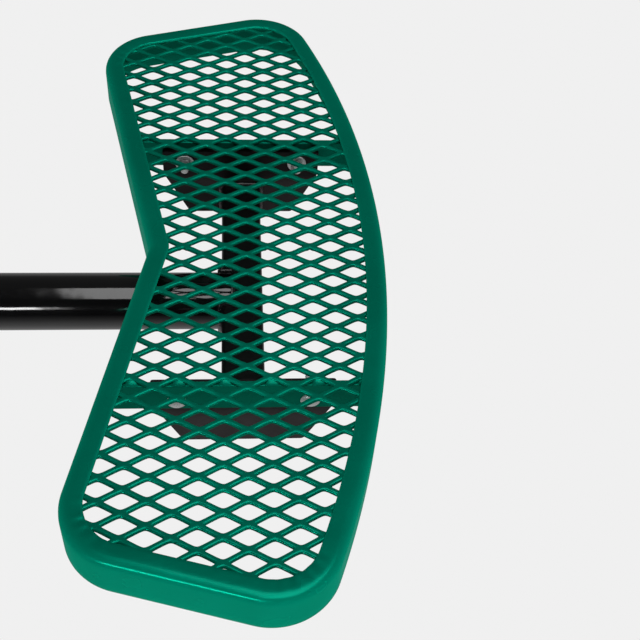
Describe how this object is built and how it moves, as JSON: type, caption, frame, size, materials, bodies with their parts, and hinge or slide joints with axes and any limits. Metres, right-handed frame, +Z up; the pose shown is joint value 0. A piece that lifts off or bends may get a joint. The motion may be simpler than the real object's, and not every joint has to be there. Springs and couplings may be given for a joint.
{
  "type": "cantilever picnic table bench seat",
  "caption": "Cantilevered bench seat of coated expanded metal with a bent rim, bolted to a tube arm frame for a round outdoor table.",
  "frame": {"origin": "centre of the arm tube's plain end, on the tube's axis", "axes": "+X along the arm from its plain end to the seat, +Y along the seat to a sitter's right hand, +Z up"},
  "size_m": [0.4515, 0.82, 0.1205],
  "materials": {
    "green_coating": "thick thermoplastic dip coating, semi-gloss deep green",
    "black_powder_coat": "glossy black powder coat",
    "zinc_plate": "bright zinc plate"
  },
  "bodies": {
    "root": {"rim_inner_left": "green_coating", "rim_inner_right": "green_coating", "rim_end_left": "green_coating", "rim_end_right": "green_coating", "rim_outer": "green_coating", "seat_mesh": "green_coating", "rib_left": "green_coating", "rib_right": "green_coating", "crossbar": "black_powder_coat", "arm_tube": "black_powder_coat", "arm_weld": "black_powder_coat", "bracket_plate_left": "black_powder_coat", "bracket_plate_right": "black_powder_coat", "bar_weld_left": "black_powder_coat", "bar_weld_right": "black_powder_coat", "bolts_left": "zinc_plate", "bolts_right": "zinc_plate", "spacer_washers_left": "zinc_plate", "spacer_washers_right": "zinc_plate", "nut_washers_left": "zinc_plate", "nut_washers_right": "zinc_plate", "nuts_left": "zinc_plate", "nuts_right": "zinc_plate"}
  },
  "joints": []
}
